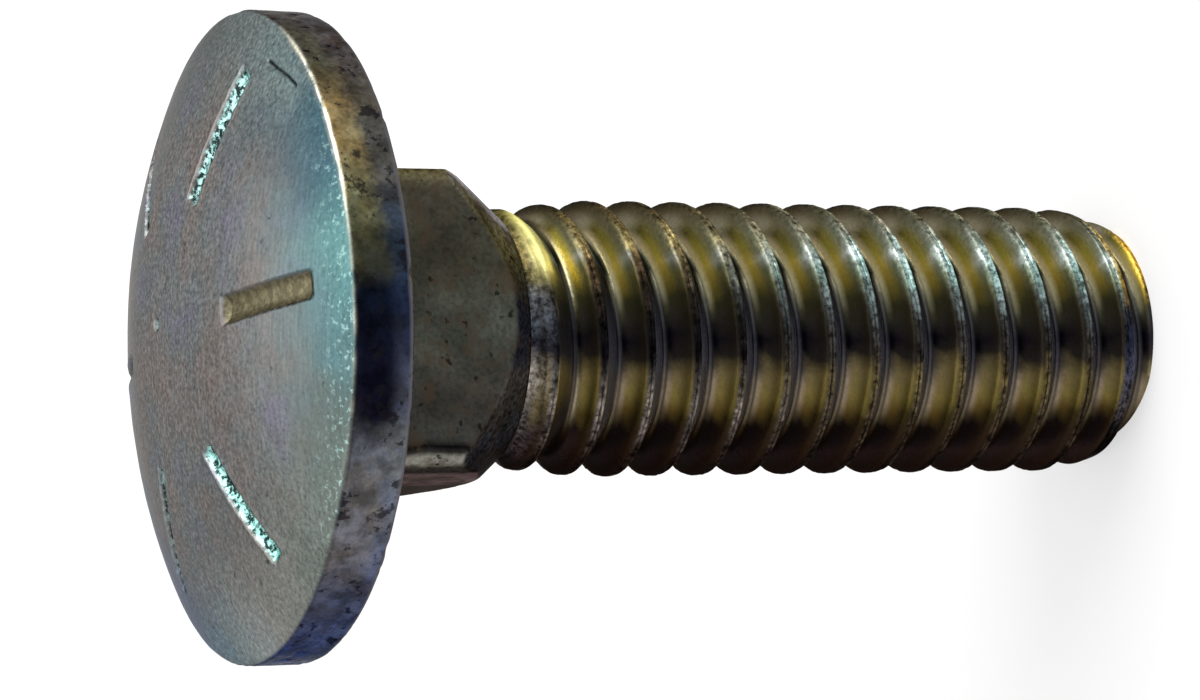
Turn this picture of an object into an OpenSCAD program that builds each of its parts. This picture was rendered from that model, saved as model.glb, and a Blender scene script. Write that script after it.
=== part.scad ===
// Carriage bolt, 5/16-18 by 1 inch: low domed head with strength grooves, square neck, rolled thread.
// Units are millimetres. The bolt is drawn about its own axis with the bearing face of the head at zero
// and the thread toward +Z, then turned over to stand on its flat end, because it rolls when it lies.
// At rest the table is Z = 0, the bolt axis is the Z axis and the side seen in the photograph faces -Y.

/* [Head] */
// Diameter of the round head
head_d = 18.1; // [14:0.1:26]
// Height of the straight rim, from the bearing face to the front crease
rim_h = 1.74; // [1:0.02:3]
// Height of the dome above the front crease
dome_h = 2.2; // [1:0.05:4]
// Radius of the worn edge between rim and dome
crease_r = 0.2; // [0.05:0.05:0.5]
// Radius of the edge between rim and bearing face
rim_r = 0.3; // [0.05:0.05:0.5]

/* [Head marks] */
// Number of radial strength grooves pressed into the dome
mark_count = 6; // [2:1:8]
// Distance from the bolt axis to the inner end of each groove
mark_in = 4; // [2.5:0.1:4.2]
// Distance from the outer end of each groove to the edge of the head
mark_edge = 1.5; // [1:0.05:1.8]
// Width of each groove
mark_w = 0.6; // [0.3:0.05:1]
// Depth of each groove below the dome
mark_depth = 0.14; // [0.05:0.01:0.4]
// Turn of the first groove about the bolt axis, from the +X side toward the front
mark_turn = 19.5; // [0:0.5:60]
// Radius of the small dimple beside the middle of the dome
dimple_r = 0.22; // [0.1:0.02:0.5]
// Distance of the dimple from the bolt axis
dimple_offset = 0.67; // [0:0.01:1.5]
// Direction of the dimple about the bolt axis
dimple_turn = 303; // [0:1:360]

/* [Square neck] */
// Width of the square neck across its flats
neck_w = 8.25; // [7.6:0.05:9.5]
// Radius of the four long corners of the neck
neck_corner_r = 0.56; // [0.2:0.05:1.2]
// Length of the neck from the bearing face to the point where the cone meets the middle of a flat
neck_l = 4.9; // [3.5:0.05:6]
// Angle between the bolt axis and the cone that ends the neck
neck_cone = 40; // [30:1:50]
// Turn of the neck about the bolt axis
neck_turn = 81; // [0:1:90]

/* [Thread] */
// Outside diameter of the thread
thread_d = 7.94; // [7.4:0.02:8.4]
// Axial distance between neighbouring crests
pitch = 1.4111; // [1:0.0001:1.6]
// Radial depth of the thread, from crest to root
thread_depth = 0.87; // [0.5:0.01:0.9]
// Width of the crest as a share of the pitch
crest_share = 0.16; // [0.08:0.01:0.3]
// Width of the root as a share of the pitch
root_share = 0.16; // [0.08:0.01:0.3]
// Diameter of the unthreaded shank, which is the blank the thread is rolled on
shank_d = 7.02; // [6.4:0.02:7.3]
// Distance from the bearing face to the tip
bolt_l = 25.6; // [18:0.1:60]
// Distance from the end of the neck to the middle of the first crest, on the +X side
thread_gap = 0.28; // [0:0.01:2]
// Turns over which the thread grows to its full height
run_in_turns = 2.2; // [0.5:0.1:3]

/* [Tip] */
// Diameter of the flat end
tip_d = 6.84; // [5.5:0.02:7.2]
// Length of the rounded tip
tip_l = 2.4; // [0.5:0.1:4]

/* [Hidden] */
head_r = head_d / 2;
thread_r = thread_d / 2;
shank_r = shank_d / 2;
tip_r = tip_d / 2;
root_r = thread_r - thread_depth;
mark_out = head_r - mark_edge;
// The dome is a ball cap whose edge meets the rim at the front crease.
ball_r = (head_r * head_r + dome_h * dome_h) / (2 * dome_h);
ball_z = -rim_h - dome_h + ball_r;
// The edge round touches both the dome and the rim.
crease_x = head_r - crease_r;
crease_z = ball_z - sqrt(pow(ball_r - crease_r, 2) - crease_x * crease_x);
crease_touch_x = crease_x * ball_r / (ball_r - crease_r);
crease_touch_z = ball_z - sqrt(ball_r * ball_r - crease_touch_x * crease_touch_x);
// The cone that ends the neck meets the middle of each flat at the neck's length, and ends one step proud
// of the shank.
neck_step = 0.1;
cone_slope = tan(neck_cone);
neck_end_z = neck_l + (neck_w / 2 - shank_r - neck_step) / cone_slope;
thread_start = neck_end_z + thread_gap;
// Turns before the first crest line at which the thread begins to grow.
run_in_lead = 0.72;
// Angular steps in one turn of the thread.
turn_steps = 40;
through = 1;

// Radius of the rounded tip at a given height, which falls away ever faster toward the flat end.
function taper_r(z) =
    let (t = max(0, 1 - (bolt_l - z) / tip_l))
    thread_r - (thread_r - tip_r) * t * t;

// Half outline of the head, radius along X and height along Y.
module head_outline() {
  intersection() {
    translate([0, ball_z]) circle(r = ball_r, $fn = 180);
    translate([0, -rim_h - dome_h - through]) square([crease_touch_x, rim_h + dome_h + through - rim_r]);
  }
  translate([crease_x, crease_z]) circle(r = crease_r, $fn = 36);
  polygon([
    [0, crease_touch_z],
    [crease_touch_x, crease_touch_z],
    [crease_x, crease_z],
    [head_r, crease_z],
    [head_r, -rim_r],
    [0, -rim_r],
  ]);
  translate([head_r - rim_r, -rim_r]) circle(r = rim_r, $fn = 36);
  translate([0, -rim_r - rim_r / 2]) square([head_r - rim_r, rim_r * 1.5]);
}

// One radial groove with round ends; its floor follows the dome.
module mark() {
  first_x = mark_in + mark_w / 2;
  last_x = mark_out - mark_w / 2;
  difference() {
    translate([0, 0, ball_z - ball_r - through]) {
      linear_extrude(height = ball_r) {
        translate([first_x, -mark_w / 2]) square([last_x - first_x, mark_w]);
        translate([first_x, 0]) circle(d = mark_w, $fn = 32);
        translate([last_x, 0]) circle(d = mark_w, $fn = 32);
      }
    }
    translate([0, 0, ball_z]) sphere(r = ball_r - mark_depth, $fn = 180);
  }
}

// Domed head with its strength grooves and dimple.
module head() {
  difference() {
    rotate_extrude($fn = 180) head_outline();
    for (k = [0:mark_count - 1]) rotate([0, 0, mark_turn + 360 * k / mark_count]) mark();
    rotate([0, 0, dimple_turn]) translate([dimple_offset, 0, ball_z - ball_r]) sphere(r = dimple_r, $fn = 32);
  }
}

// Square neck with rounded corners, cut off by the cone that leads to the shank.
module neck() {
  flat = neck_w - 2 * neck_corner_r;
  corner = flat / 2;
  intersection() {
    rotate([0, 0, neck_turn]) {
      translate([0, 0, -rim_r]) {
        linear_extrude(height = neck_end_z + rim_r) {
          square([neck_w, flat], center = true);
          square([flat, neck_w], center = true);
          for (x = [-corner, corner], y = [-corner, corner]) {
            translate([x, y]) circle(r = neck_corner_r, $fn = 36);
          }
        }
      }
    }
    translate([0, 0, -rim_r]) {
      cylinder(
        r1 = shank_r + neck_step + (neck_end_z + rim_r) * cone_slope,
        r2 = shank_r + neck_step,
        h = neck_end_z + rim_r,
        $fn = 120
      );
    }
  }
}

// Share of the full thread height at a number of turns after its start, rising smoothly from 0 to 1.
function grown(turns) =
    let (t = max(0, min(1, turns / run_in_turns)))
    t * t * (3 - 2 * t);

// Thread section over one pitch: share of the pitch along the axis, and share of the depth.
section = [
    [0, 0],
    [crest_share / 2, 0],
    [0.5 - root_share / 2, 0.97],
    [0.5, 1],
    [0.5 + root_share / 2, 0.97],
    [1 - crest_share / 2, 0],
];

// Radius of the thread surface for a height, a number of turns and a share of the depth.
function thread_surface_r(z, turns, depth_share) =
    let (g = grown(turns + run_in_lead))
    let (crest = shank_r + (thread_r - shank_r) * g)
    let (root = shank_r + (root_r - shank_r) * g)
    min(crest + (root - crest) * depth_share, taper_r(z));

// Right-hand thread as one closed skin that winds from below the start plane to beyond the tip.
module thread_skin() {
  n = len(section);
  first = -2 * turn_steps;
  last = ceil((bolt_l - thread_start) / pitch + 1) * turn_steps;
  rows = last - first;
  pts = [
    for (i = [0:rows], s = section)
      let (turns = (first + i) / turn_steps)
      let (z = thread_start + pitch * (turns + s[0]))
      let (r = thread_surface_r(z, turns + s[0], s[1]))
      [r * cos(360 * turns), r * sin(360 * turns), z]
  ];
  low = len(pts);
  high = low + 1;
  low_z = thread_start + pitch * (first / turn_steps + 0.5);
  high_z = thread_start + pitch * (last / turn_steps - 0.5);
  full = rows - turn_steps;
  function id(i, j) = j < n ? i * n + j : (i + turn_steps) * n;
  skin = [
    for (i = [0:full - 1], j = [0:n - 1])
      each [
        [id(i, j), id(i, j + 1), id(i + 1, j + 1)],
        [id(i, j), id(i + 1, j + 1), id(i + 1, j)],
      ]
  ];
  low_rim = concat([for (i = [0:turn_steps]) id(i, 0)], [for (j = [n - 1:-1:1]) id(0, j)]);
  high_rim = concat([for (i = [full:rows]) id(i, 0)], [for (j = [n - 1:-1:1]) id(full, j)]);
  low_cap = [for (k = [0:len(low_rim) - 1]) [low, low_rim[k], low_rim[(k + 1) % len(low_rim)]]];
  high_cap = [for (k = [0:len(high_rim) - 1]) [high, high_rim[(k + 1) % len(high_rim)], high_rim[k]]];
  polyhedron(
    points = concat(pts, [[0, 0, low_z], [0, 0, high_z]]),
    faces = concat(skin, low_cap, high_cap),
    convexity = 20
  );
}

// Threaded shank, cut square at the neck and at the tip.
module shank() {
  start_z = neck_end_z - 0.5;
  intersection() {
    thread_skin();
    translate([0, 0, start_z]) linear_extrude(height = bolt_l - start_z) square(4 * thread_r, center = true);
  }
}

// The whole bolt, one forged piece, standing on its flat end.
module carriage_bolt() {
  color("#8c8463")
  translate([0, 0, bolt_l])
  rotate([180, 0, 0]) {
    head();
    neck();
    shank();
  }
}

carriage_bolt();
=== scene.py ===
import logging
import math
from dataclasses import dataclass
from enum import Enum

import bpy
import numpy as np
from mathutils import Matrix, Vector, noise


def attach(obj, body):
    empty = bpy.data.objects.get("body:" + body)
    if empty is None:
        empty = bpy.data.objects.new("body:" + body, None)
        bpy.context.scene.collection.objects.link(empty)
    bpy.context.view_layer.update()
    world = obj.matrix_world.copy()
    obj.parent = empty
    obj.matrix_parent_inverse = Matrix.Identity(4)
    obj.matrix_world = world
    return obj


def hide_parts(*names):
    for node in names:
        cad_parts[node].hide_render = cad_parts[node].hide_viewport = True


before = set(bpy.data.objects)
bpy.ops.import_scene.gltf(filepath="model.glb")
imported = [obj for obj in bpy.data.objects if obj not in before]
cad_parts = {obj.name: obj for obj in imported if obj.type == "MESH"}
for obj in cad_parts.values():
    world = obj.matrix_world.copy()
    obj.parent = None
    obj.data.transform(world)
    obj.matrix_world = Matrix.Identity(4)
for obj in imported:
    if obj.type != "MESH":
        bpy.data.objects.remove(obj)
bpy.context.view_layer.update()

NODE = "carriage_bolt"
BODY = "root"
MM = 0.001
TURN = 2 * math.pi
Stops = tuple[tuple[float, str], ...]

logging.basicConfig(level=logging.INFO, format="%(message)s")
log = logging.getLogger("carriage_bolt")


class Mark(Enum):
    """Names of the point values that the finishes read."""

    GROOVE = "groove"
    STRUCK = "struck"
    WEAR = "crease_highlight"
    RIM = "rim"
    UNDER = "under"
    SCRATCH = "scratch"
    CREST = "crest"
    SIDE = "side"
    RUN_IN = "run_in"
    TIP = "tip"
    RUBBED = "rubbed"
    CONE = "cone"


# ---------------------------------------------------------------- sizes


@dataclass(frozen=True)
class BoltSizes:
    """Sizes of the bolt in millimetres, about its own axis with the bearing face at zero."""

    head_r: float = 9.05
    rim_h: float = 1.74
    dome_h: float = 2.2
    crease_r: float = 0.2
    rim_r: float = 0.3
    mark_count: int = 6
    mark_turn: float = 19.5
    dimple_r: float = 0.22
    dimple_offset: float = 0.67
    dimple_turn: float = 303.0
    neck_w: float = 8.25
    neck_corner_r: float = 0.56
    neck_l: float = 4.9
    neck_cone: float = 40.0
    neck_turn: float = 81.0
    neck_step: float = 0.1
    thread_r: float = 3.97
    shank_r: float = 3.51
    thread_depth: float = 0.87
    pitch: float = 1.4111
    bolt_l: float = 25.6
    thread_gap: float = 0.28
    tip_r: float = 3.42
    tip_l: float = 2.4

    @property
    def ball_r(self) -> float:
        """Radius of the ball that the dome is part of."""
        return (self.head_r**2 + self.dome_h**2) / (2 * self.dome_h)

    @property
    def ball_z(self) -> float:
        """Height of the centre of that ball."""
        return -self.rim_h - self.dome_h + self.ball_r

    @property
    def neck_end_z(self) -> float:
        """Height at which the cone of the neck ends."""
        drop = self.neck_w / 2 - self.shank_r - self.neck_step
        return self.neck_l + drop / math.tan(math.radians(self.neck_cone))

    @property
    def thread_start(self) -> float:
        """Height of the first crest at angle zero."""
        return self.neck_end_z + self.thread_gap


SIZES = BoltSizes()


# ---------------------------------------------------------------- modelling steps


def deselect_all() -> None:
    """Leave edit mode and deselect every object."""
    if bpy.context.object and bpy.context.object.mode != "OBJECT":
        bpy.ops.object.mode_set(mode="OBJECT")
    bpy.ops.object.select_all(action="DESELECT")


def make_active(obj: bpy.types.Object) -> None:
    """Select one object alone and make it the active one.

    Args:
        obj: The object to work on.
    """
    deselect_all()
    obj.select_set(True)
    bpy.context.view_layer.objects.active = obj


def edit_all(obj: bpy.types.Object) -> None:
    """Open a mesh in edit mode with all of it selected.

    Args:
        obj: The object to edit.
    """
    make_active(obj)
    bpy.ops.object.mode_set(mode="EDIT")
    bpy.ops.mesh.select_mode(type="VERT")
    bpy.ops.mesh.select_all(action="SELECT")


def draw_outline(name: str, points: list[tuple[float, float]]) -> bpy.types.Object:
    """Draw a chain of points in the XZ plane, by pulling one point from the last.

    Args:
        name: Name of the new object.
        points: Radius and height of each point, in millimetres.

    Returns:
        The object that holds the chain.
    """
    deselect_all()
    bpy.ops.mesh.primitive_plane_add(size=1)
    obj = bpy.context.object
    obj.name = name
    edit_all(obj)
    bpy.ops.mesh.merge(type="CENTER")
    bpy.ops.transform.translate(value=(points[0][0], 0, points[0][1]))
    for before, after in zip(points, points[1:]):
        step = (after[0] - before[0], 0, after[1] - before[1])
        bpy.ops.mesh.extrude_vertices_move(TRANSFORM_OT_translate={"value": step})
    bpy.ops.object.mode_set(mode="OBJECT")
    return obj


def merge_close(obj: bpy.types.Object, distance: float) -> None:
    """Merge points that lie on each other and turn the faces outward.

    Args:
        obj: The object to clean.
        distance: Largest distance between merged points, in millimetres.
    """
    edit_all(obj)
    bpy.ops.mesh.remove_doubles(threshold=distance)
    bpy.ops.mesh.normals_make_consistent(inside=False)
    bpy.ops.object.mode_set(mode="OBJECT")


def points_of(obj: bpy.types.Object) -> np.ndarray:
    """Return the mesh's points as an array of rows x, y, z."""
    co = np.zeros(len(obj.data.vertices) * 3)
    obj.data.vertices.foreach_get("co", co)
    return co.reshape(-1, 3)


def move_points(obj: bpy.types.Object, co: np.ndarray) -> None:
    """Put the mesh's points at new places.

    Args:
        obj: The object to reshape.
        co: New places, one row for each point.
    """
    obj.data.vertices.foreach_set("co", co.astype(np.float32).ravel())
    obj.data.update()


def keep_value(obj: bpy.types.Object, mark: Mark, values: np.ndarray) -> None:
    """Store one number for each point, which a finish reads.

    Args:
        obj: The object that gets the values.
        mark: The name that the finish reads them by.
        values: One number for each point.
    """
    layer = obj.data.attributes.new(mark.value, "FLOAT", "POINT")
    layer.data.foreach_set("value", values.astype(np.float32))


def smooth_step(x: np.ndarray) -> np.ndarray:
    """Return a smooth rise from 0 to 1 for x from 0 to 1."""
    t = np.clip(x, 0, 1)
    return t * t * (3 - 2 * t)


def smooth_min(a: np.ndarray, b: np.ndarray, width: float) -> np.ndarray:
    """Return the smaller of two values, with their meeting rounded over a width.

    Args:
        a: First values.
        b: Second values.
        width: Width of the rounding, in the same unit.

    Returns:
        The rounded smaller values.
    """
    share = np.clip(0.5 + 0.5 * (b - a) / width, 0, 1)
    return b + (a - b) * share - width * share * (1 - share)


def lumps(co: np.ndarray, size: float, seed: float) -> np.ndarray:
    """Return smooth noise from about -1 to 1 at each point.

    Args:
        co: Points in millimetres.
        size: Width of a lump in millimetres.
        seed: Shift that picks another pattern.

    Returns:
        One value for each point.
    """
    scaled = co / size + seed
    return np.array([noise.noise(Vector(p)) for p in scaled])


def stand_up(obj: bpy.types.Object, angle: float) -> bpy.types.Object:
    """Turn a finished piece over onto the table, bring it to metres and dress it for the frame.

    Args:
        obj: The piece, in millimetres about the bolt's axis.
        angle: Largest angle between faces that are shaded as one surface, in degrees.

    Returns:
        The same piece, at the origin with its place in its mesh.
    """
    make_active(obj)
    flip = Matrix.Translation((0, 0, SIZES.bolt_l * MM)) @ Matrix.Rotation(math.pi, 4, "X")
    obj.matrix_world = flip @ Matrix.Scale(MM, 4)
    bpy.ops.object.transform_apply(location=True, rotation=True, scale=True)
    bpy.ops.object.shade_smooth_by_angle(angle=math.radians(angle))
    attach(obj, BODY)
    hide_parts(NODE)
    return obj


# ---------------------------------------------------------------- node helpers


def linear(hex_colour: str) -> tuple[float, float, float, float]:
    """Turn an sRGB hex colour into linear values.

    Args:
        hex_colour: Six hex digits with a leading hash.

    Returns:
        Linear red, green, blue and an alpha of 1.
    """
    out = []
    for i in (1, 3, 5):
        c = int(hex_colour[i : i + 2], 16) / 255
        out.append(c / 12.92 if c <= 0.04045 else ((c + 0.055) / 1.055) ** 2.4)
    return (out[0], out[1], out[2], 1.0)


@dataclass
class NodeBench:
    """Builds one material's node tree, with patterns in millimetres of the standing bolt."""

    material: bpy.types.Material

    def __post_init__(self) -> None:
        """Empty the material's tree and read the place of each point."""
        self.material.use_nodes = True
        self.tree = self.material.node_tree
        self.tree.nodes.clear()
        object_place = self.add("TexCoord").outputs["Object"]
        self.place = self.add("Mapping", {"Vector": object_place, "Scale": (1 / MM,) * 3})
        self.x, self.y, self.z = self.add("SeparateXYZ", (self.place,)).outputs

    def add(
        self,
        kind: str,
        inputs: dict | tuple = (),
        stops: Stops = (),
        **settings: object,
    ) -> bpy.types.Node:
        """Add one node with its settings and links.

        Args:
            kind: The node's type name, without the ShaderNode that it starts with.
            inputs: A value, hex colour, node or output for each socket, by its name or number or in order.
            stops: Position and hex colour of each stop, for a colour ramp.
            settings: Values for the node's own properties.

        Returns:
            The new node.
        """
        node = self.tree.nodes.new("ShaderNode" + kind)
        for name, value in settings.items():
            setattr(node, name, value)
        for name, value in (inputs if isinstance(inputs, dict) else dict(enumerate(inputs))).items():
            if isinstance(value, bpy.types.Node):
                value = next(out for out in value.outputs if out.enabled)
            if isinstance(value, bpy.types.NodeSocket):
                self.tree.links.new(value, node.inputs[name])
            else:
                node.inputs[name].default_value = linear(value) if isinstance(value, str) else value
        for i, (position, colour) in enumerate(stops):
            ramp = node.color_ramp.elements
            if i == 0:
                ramp.remove(ramp[1])
            stop = ramp.new(position) if i else ramp[0]
            stop.position = position
            stop.color = linear(colour)
        return node


# ---------------------------------------------------------------- finishes


@dataclass(frozen=True)
class FilmAndLightChart:
    """Colour at each angle about the bolt's axis: the chromate film's colour with light and shade painted on.

    The angle is 0 toward +X, 90 toward the side that the camera sees and 180 toward -X. The stops hold
    painted reflections, painted highlights and painted shade as they fall at each angle, over the film's own
    colour.
    """

    stops: Stops

    def paint(self, bench: NodeBench, sway: float = 5.0, blotch_mm: float = 1.6) -> bpy.types.Node:
        """Add the chart to a material.

        Args:
            bench: The material's bench.
            sway: How far the borders wander, in degrees.
            blotch_mm: Width of the wandering in millimetres.

        Returns:
            The node that gives the colour.
        """
        add = bench.add
        toward = add("Math", (bench.y, -1.0), operation="MULTIPLY")
        angle = add("Math", (toward, bench.x), operation="ARCTAN2")
        wander = add("TexNoise", {"Vector": bench.place, "Scale": 1 / blotch_mm, "Detail": 4.0})
        # The noise stays within a quarter of its middle value, one half.
        reach = 4 * math.radians(sway)
        swayed = add("Math", (wander, reach, angle), operation="MULTIPLY_ADD")
        share = add("Math", (swayed, 1 / TURN, 0.5 - reach / 2 / TURN), operation="MULTIPLY_ADD")
        wrapped = add("Math", (share,), operation="FRACT")
        return add("ValToRGB", (wrapped,), tuple((0.5 + deg / 360, colour) for deg, colour in self.stops))


@dataclass(frozen=True)
class Pattern:
    """Noise over a finish, stretched from its own band to the values that the finish needs."""

    lump_mm: float
    detail: float
    rough: float
    band: tuple[float, float]
    values: tuple[float, float]
    tint: str = "#ffffff"

    def paint(self, bench: NodeBench) -> bpy.types.Node:
        """Add the pattern to a material.

        Args:
            bench: The material's bench.

        Returns:
            The node that gives the stretched value.
        """
        size = {"Scale": 1 / self.lump_mm, "Detail": self.detail, "Roughness": self.rough}
        lump = bench.add("TexNoise", {"Vector": bench.place, **size})
        return bench.add("MapRange", (lump, *self.band, *self.values))


@dataclass(frozen=True)
class ZincFinish:
    """Zinc-plated steel with a yellow chromate film."""

    name: str
    roughness: float
    grain_mm: float
    bump_mm: float
    metallic: float
    edge_tint: str

    def close(
        self, bench: NodeBench, colour: bpy.types.Node, rough: bpy.types.Node, height: bpy.types.Node
    ) -> bpy.types.Material:
        """Finish the material with its metal shader.

        Args:
            bench: The material's bench.
            colour: Base colour.
            rough: Roughness.
            height: Height of the fine surface.

        Returns:
            The finished material.
        """
        bump = bench.add("Bump", {"Height": height, "Distance": self.bump_mm * MM, "Strength": 1.0})
        inputs = {
            "Base Color": colour, "Roughness": rough, "Normal": bump, "Metallic": self.metallic,
            "Specular IOR Level": 0.0, "Specular Tint": self.edge_tint,
        }
        bench.add("OutputMaterial", {"Surface": bench.add("BsdfPrincipled", inputs)})
        return bench.material


@dataclass(frozen=True)
class HeadFinish(ZincFinish):
    """Forged head: the film is thin and satin and grey, with painted reflections that turn teal toward the
    lit edge.

    The rim keeps more of the film, under painted reflections from gold through navy blue to a mottled purple
    grey, and the edge between dome and rim is rubbed and carries a painted highlight on the lit side.
    """

    # The charts paint the head's reflections and highlights by angle over the film's colour.
    edge: FilmAndLightChart = FilmAndLightChart((
        (-180, "#8fa4af"), (-150, "#767f97"), (-90, "#6d6d6f"), (-40, "#777775"), (8, "#8d9796"),
        (28, "#889999"), (40, "#576d74"), (56, "#44626d"), (74, "#5f8989"), (90, "#56777a"),
        (104, "#5f6b67"), (132, "#838982"), (155, "#a1a19c"), (168, "#a7b0b0"), (180, "#92a4aa"),
    ))
    rim_front: FilmAndLightChart = FilmAndLightChart((
        (-180, "#424c6f"), (-90, "#5a574c"), (0, "#4e4c54"), (20, "#4a443e"), (36, "#555548"),
        (50, "#7e6c49"), (62, "#7d7e63"), (74, "#3d3e2d"), (83, "#0c1320"), (101, "#100f1d"),
        (110, "#5e6169"), (124, "#68676e"), (138, "#464a5b"), (160, "#3b4771"), (180, "#424c6f"),
    ))
    rim_back: FilmAndLightChart = FilmAndLightChart((
        (-180, "#354060"), (-90, "#4a473e"), (0, "#4a494f"), (30, "#544f50"), (50, "#49463b"),
        (63, "#4b4e53"), (74, "#24303f"), (88, "#1f263d"), (99, "#4a4e5d"), (110, "#68707a"),
        (124, "#5d6479"), (136, "#4d5269"), (160, "#3e4968"), (180, "#354060"),
    ))
    struck: FilmAndLightChart = FilmAndLightChart((
        (-180, "#7fa09e"), (-90, "#5a6260"), (0, "#7fa09e"), (12, "#a4d0cc"), (45, "#a4d0cc"),
        (62, "#7f785f"), (98, "#7f785f"), (115, "#9cd4cc"), (165, "#9cd4cc"), (180, "#7fa09e"),
    ))
    middle: Stops = ((0.34, "#867e7a"), (0.46, "#827f7d"), (0.55, "#7c8080"), (0.66, "#7f7d89"))
    edge_glints: Pattern = Pattern(0.14, 2.0, 0.6, (0.56, 0.74), (0.0, 0.6), "#c4eee8")
    dots: Pattern = Pattern(0.3, 3.0, 0.7, (0.64, 0.74), (0.0, 0.6), "#24262c")
    rust: Pattern = Pattern(1.3, 4.0, 0.65, (0.5, 0.58), (0.0, 0.8), "#f0e4d0")
    pits: Pattern = Pattern(0.6, 5.0, 0.7, (0.57, 0.62), (0.0, 0.8), "#16151a")
    line_mm: float = 0.1
    highlight_line_tint: str = "#6f6c74"
    under_tint: str = "#7d7868"
    crease_highlight_tint: str = "#e6e2cf"
    scratch_tint: str = "#1d2024"

    def dome(self, bench: NodeBench, shade: bpy.types.Node, fleck: bpy.types.Node) -> bpy.types.Node:
        """Colour the dome, from its middle to its lit edge.

        Args:
            bench: The material's bench.
            shade: Tone of the die's lines.
            fleck: Tone of the fine grain.

        Returns:
            The node that gives the colour.
        """
        add, place = bench.add, bench.place
        flat = add("VectorMath", (place, (1, 1, 0)), operation="MULTIPLY")
        radius = add("VectorMath", (flat,), operation="LENGTH").outputs["Value"]
        patches = add("TexNoise", {"Vector": place, "Scale": 1 / 2.4, "Detail": 5.0, "Roughness": 0.6})
        middle = add("ValToRGB", (patches,), self.middle)
        # Painted shade: the side that faces -Y is the darker one.
        side_shade = add("MapRange", (bench.y, -3.4, 0.2, 1.02, 1.46))
        middle = add("VectorMath", {0: middle, "Scale": side_shade}, operation="SCALE")
        outward = add("MapRange", (radius, 5.4, 8.9), interpolation_type="SMOOTHSTEP")
        # The edge chart paints the reflections round the dome's edge, teal on the lit side.
        edge = self.edge.paint(bench, 8.0, 2.0)
        colour = add("Mix", {0: outward, 6: middle, 7: edge}, data_type="RGBA")
        tone = add("Math", (shade, fleck), operation="MULTIPLY")
        colour = add("VectorMath", {0: colour, "Scale": tone}, operation="SCALE")
        # Painted glints: bright specks near the lit edge.
        glints = self.edge_glints.paint(bench)
        for limits in ((radius, 7.7, 8.8), (bench.y, -5.6, -7.8)):
            glints = add("Math", (glints, add("MapRange", limits)), operation="MULTIPLY")
        # Small dark specks where the film took dirt.
        for mask, over in ((glints, self.edge_glints.tint), (self.dots.paint(bench), self.dots.tint)):
            colour = add("Mix", {0: mask, 6: colour, 7: over}, data_type="RGBA")
        return colour

    def grooves(self, bench: NodeBench, broken: bpy.types.NodeSocket) -> bpy.types.Node:
        """Colour the floors of the grooves, hammered bright and dark where the metal broke.

        Args:
            bench: The material's bench.
            broken: How broken each groove's floor is, from 0 to 1.

        Returns:
            The node that gives the colour.
        """
        add = bench.add
        hammered = add("TexNoise", {"Vector": bench.place, "Scale": 1 / 0.2, "Detail": 3.0, "Roughness": 0.7})
        darkest = add("MapRange", (broken, 0.0, 1.0, 0.75, 0.06))
        brightest = add("MapRange", (broken, 0.0, 1.0, 0.95, 1.35))
        flake = add("MapRange", (hammered, 0.44, 0.56, darkest, brightest))
        # The struck chart paints highlights on the groove walls: bright cyan white in two grooves, olive in
        # the one between them.
        return add("VectorMath", {0: self.struck.paint(bench, 0.0, 2.0), "Scale": flake}, operation="SCALE")

    def side(self, bench: NodeBench, fleck: bpy.types.Node) -> bpy.types.Node:
        """Colour the rim, whose film differs toward the dome and toward the bearing face.

        Args:
            bench: The material's bench.
            fleck: Tone of the fine grain.

        Returns:
            The node that gives the colour.
        """
        add = bench.add
        mottle = add("TexNoise", {"Vector": bench.place, "Scale": 1 / 0.7, "Detail": 4.0, "Roughness": 0.65})
        mottled = add("MapRange", (mottle, 0.38, 0.62, 0.6, 1.36))
        # The border between the two halves lies lower toward +X, and wavers.
        tilt = add("MapRange", (bench.x, 0.0, 6.0, 0.0, -0.45))
        uneven = add("Math", (mottle, 0.8, bench.z), operation="MULTIPLY_ADD")
        uneven = add("Math", (uneven, tilt), operation="ADD")
        front = add("MapRange", (uneven, 26.3, 26.85), interpolation_type="SMOOTHSTEP")
        # Both rim charts paint reflections by angle: gold, navy blue and mottled purple grey bands.
        halves = {0: front, 6: self.rim_back.paint(bench, 5.0, 2.0), 7: self.rim_front.paint(bench, 5.0, 2.0)}
        colour = add("Mix", halves, data_type="RGBA")
        for tone in (mottled, fleck):
            colour = add("VectorMath", {0: colour, "Scale": tone}, operation="SCALE")
        browned = {0: self.rust.paint(bench), 6: colour, 7: self.rust.tint}
        colour = add("Mix", browned, data_type="RGBA", blend_type="MULTIPLY")
        # Dark pits with sharp borders, and a painted highlight: the thin pale line along the bearing face.
        pale = add("MapRange", (bench.z, 25.86, 25.74, 0.0, 0.7))
        for mask, over in ((self.pits.paint(bench), self.pits.tint), (pale, self.highlight_line_tint)):
            colour = add("Mix", {0: mask, 6: colour, 7: over}, data_type="RGBA")
        return colour

    def build(self) -> bpy.types.Material:
        """Build the material."""
        bench = NodeBench(bpy.data.materials.new(self.name))
        add, place = bench.add, bench.place
        marks = (Mark.GROOVE, Mark.STRUCK, Mark.RIM, Mark.UNDER, Mark.WEAR, Mark.SCRATCH)
        groove, broken, rim, under, crease_highlight, scratch = (
            add("Attribute", attribute_name=mark.value).outputs["Fac"] for mark in marks
        )
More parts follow.
